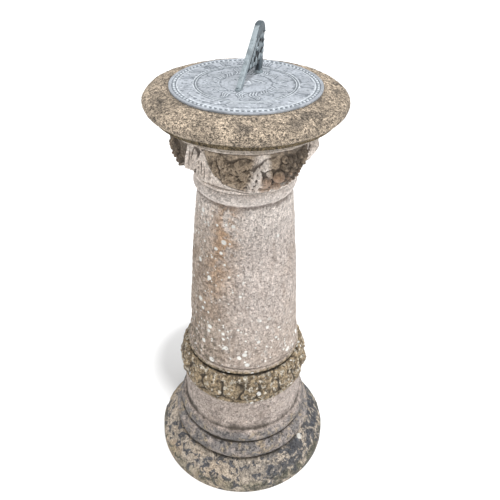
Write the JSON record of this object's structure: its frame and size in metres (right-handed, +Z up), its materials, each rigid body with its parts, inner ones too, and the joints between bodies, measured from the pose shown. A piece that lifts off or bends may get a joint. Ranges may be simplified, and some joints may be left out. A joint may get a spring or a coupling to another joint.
{
  "type": "garden sundial",
  "caption": "Horizontal sundial on a round stone pedestal with moulded foot, tapered shaft, garlanded capital and bullnosed top; its cast dial plate and gnomon turn to set noon.",
  "frame": {"origin": "middle of the plinth's underside, where it stands on the ground", "axes": "+Z up along the pedestal's axis; +Y is the dial's north, the way the noon line and the gnomon point at rest; +X is east"},
  "size_m": [0.39, 0.39, 0.9518],
  "materials": {
    "plinth_stone": "weathered, granular, with blue-grey lichen blotches",
    "column_stone": "weathered, fine-pitted, with white lichen spots",
    "carved_stone": "carved relief, dark in its hollows",
    "table_stone": "coarse sandy surface with dark patches",
    "mortar": "rough, recessed and dirty",
    "dowel_steel": "plain bar",
    "turned_brass": "turned, dulled",
    "dial_metal": "cast relief with a matt blue-grey patina, bright on worn edges",
    "gnomon_metal": "cast, matt blue-green patina"
  },
  "bodies": {
    "pedestal": {"base_stone": "plinth_stone", "foot_mortar": "mortar", "foot_dowel": "dowel_steel", "foot_stone": "column_stone", "shaft_mortar": "mortar", "shaft_dowel": "dowel_steel", "shaft_stone": "column_stone", "capital_mortar": "mortar", "capital_dowel": "dowel_steel", "capital_stone": "carved_stone", "table_mortar": "mortar", "table_stone": "table_stone", "socket_grout": "mortar", "socket_bush": "turned_brass"},
    "dial": {"dial_plate": "dial_metal", "dial_spigot": "turned_brass", "spigot_washer": "turned_brass", "spigot_nut": "turned_brass", "gnomon": "gnomon_metal", "gnomon_screws": "turned_brass"}
  },
  "joints": [
    {"name": "dial_turn", "type": "hinge", "parent": "pedestal", "child": "dial", "pos_m": [0, 0, 0.8643], "axis": [0, 0, 1], "continuous": true}
  ]
}
